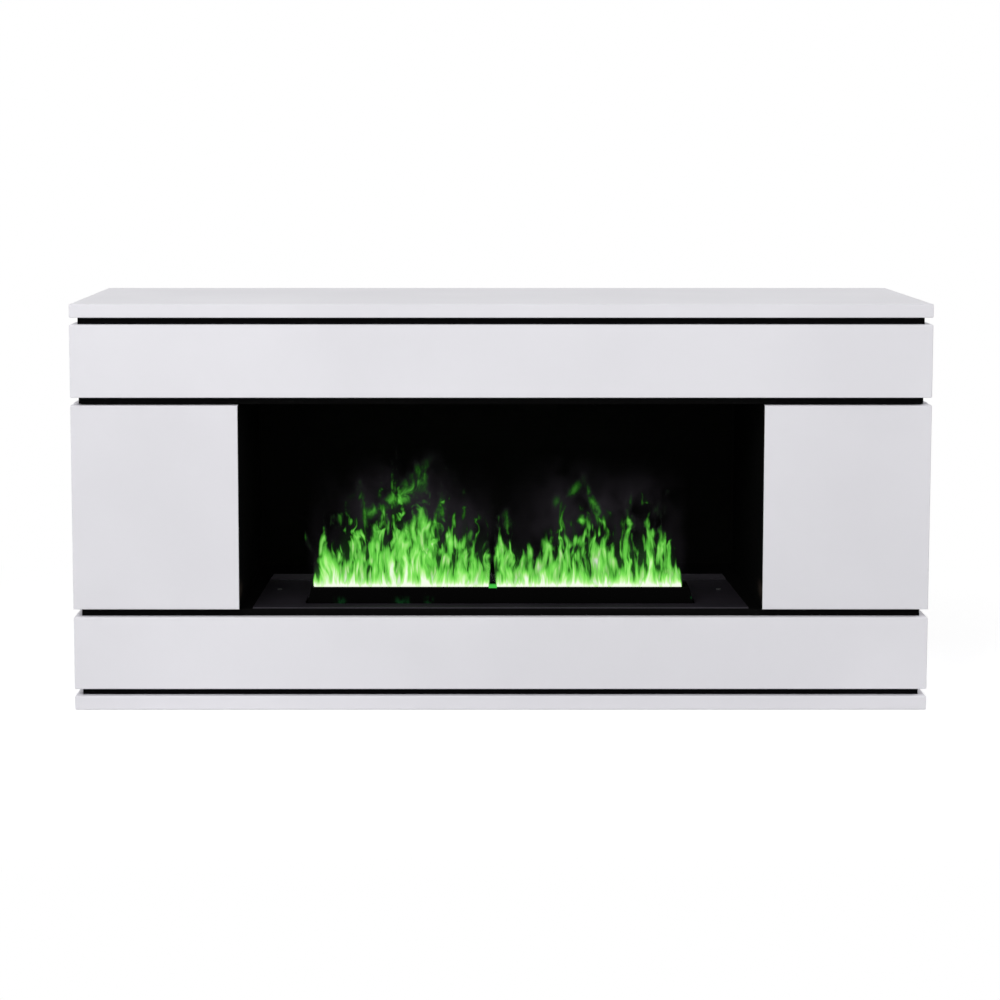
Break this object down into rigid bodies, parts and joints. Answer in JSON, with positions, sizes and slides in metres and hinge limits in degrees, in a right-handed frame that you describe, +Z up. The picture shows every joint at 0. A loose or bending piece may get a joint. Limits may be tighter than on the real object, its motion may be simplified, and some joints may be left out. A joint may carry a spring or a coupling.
{
  "type": "fireplace tv stand",
  "caption": "Long low white media cabinet in stacked tiers with dark shadow gaps, a hinged door at each end and an open black firebox holding a slotted mist-flame trough.",
  "frame": {"origin": "middle of the footprint, on the floor", "axes": "+X to the right across the width, +Y from the front to the back, +Z up"},
  "size_m": [1.4, 0.38, 0.669],
  "materials": {
    "white_lacquer": "satin white lacquer on MDF",
    "black_board": "black faced board with a low sheen",
    "raw_board": "plain board, unseen",
    "white_hardboard": "white faced hardboard",
    "hinge_steel": "nickel plated steel",
    "hearth_steel": "dark satin sheet steel",
    "black_steel": "matt black powder coat",
    "grey_plastic": "moulded grey plastic",
    "black_plastic": "moulded black plastic",
    "basin_plastic": "moulded black plastic, glossy and wet",
    "flame_light": "frosted light diffuser",
    "circuit_board": "green circuit board"
  },
  "bodies": {
    "carcass": {"back_panel": "white_hardboard", "base_board": "white_lacquer", "base_spacer": "black_board", "cassette_housing": "black_steel", "ceiling_spacer": "black_board", "control_board": "circuit_board", "corner_blocks": "raw_board", "fan_frame": "black_plastic", "firebox_back": "black_board", "floor_spacer": "black_board", "hearth_plate": "hearth_steel", "hearth_screws": "hinge_steel", "hinge_arms": "hinge_steel", "hinge_plates": "hinge_steel", "latch_bodies": "grey_plastic", "light_bars": "flame_light", "lower_back_rail": "raw_board", "lower_divider_left": "raw_board", "lower_divider_right": "raw_board", "lower_fascia": "white_lacquer", "lower_side_left": "white_lacquer", "lower_side_right": "white_lacquer", "middle_side_left": "white_lacquer", "middle_side_right": "white_lacquer", "mist_generators": "black_plastic", "partition_left": "black_board", "partition_right": "black_board", "power_inlet": "black_plastic", "power_supply": "black_steel", "shelf_cleats": "white_lacquer", "shelf_left": "white_lacquer", "shelf_right": "white_lacquer", "switch_body": "black_plastic", "top_board": "white_lacquer", "top_spacer": "black_board", "upper_back_rail": "raw_board", "upper_divider_left": "raw_board", "upper_divider_right": "raw_board", "upper_fascia": "white_lacquer", "upper_side_left": "white_lacquer", "upper_side_right": "white_lacquer", "water_basin": "basin_plastic"},
    "door_left": {"door_left": "white_lacquer", "hinge_cups_left": "hinge_steel", "hinge_pins_left": "hinge_steel", "latch_strike_left": "hinge_steel"},
    "latch_plunger_left": {"latch_plunger_left": "grey_plastic"},
    "door_right": {"door_right": "white_lacquer", "hinge_cups_right": "hinge_steel", "hinge_pins_right": "hinge_steel", "latch_strike_right": "hinge_steel"},
    "latch_plunger_right": {"latch_plunger_right": "grey_plastic"},
    "trough_cover": {"trough_cover": "black_steel"},
    "fan_rotor": {"fan_rotor": "black_plastic"},
    "switch_rocker": {"switch_rocker": "black_plastic"}
  },
  "joints": [
    {"name": "door_left_hinge", "type": "hinge", "parent": "carcass", "child": "door_left", "pos_m": [-0.689, -0.183, 0.3355], "axis": [0, 0, -1], "range_deg": [0, 95]},
    {"name": "latch_left_press", "type": "slide", "parent": "carcass", "child": "latch_plunger_left", "axis": [0, 1, 0], "range_m": [0, 0.004], "stiffness_N_per_m": 300},
    {"name": "door_right_hinge", "type": "hinge", "parent": "carcass", "child": "door_right", "pos_m": [0.689, -0.183, 0.3355], "axis": [0, 0, 1], "range_deg": [0, 95]},
    {"name": "latch_right_press", "type": "slide", "parent": "carcass", "child": "latch_plunger_right", "axis": [0, 1, 0], "range_m": [0, 0.004], "stiffness_N_per_m": 300},
    {"name": "trough_cover_lift", "type": "slide", "parent": "carcass", "child": "trough_cover", "axis": [0, 0, 1], "range_m": [0, 0.04]},
    {"name": "fan_spin", "type": "hinge", "parent": "carcass", "child": "fan_rotor", "pos_m": [-0.19, 0.0008, 0.1056], "axis": [0, 1, 0], "continuous": true},
    {"name": "switch_rock", "type": "hinge", "parent": "carcass", "child": "switch_rocker", "pos_m": [0.094, 0.022, 0.1056], "axis": [-1, 0, 0], "range_deg": [0, 18]}
  ]
}
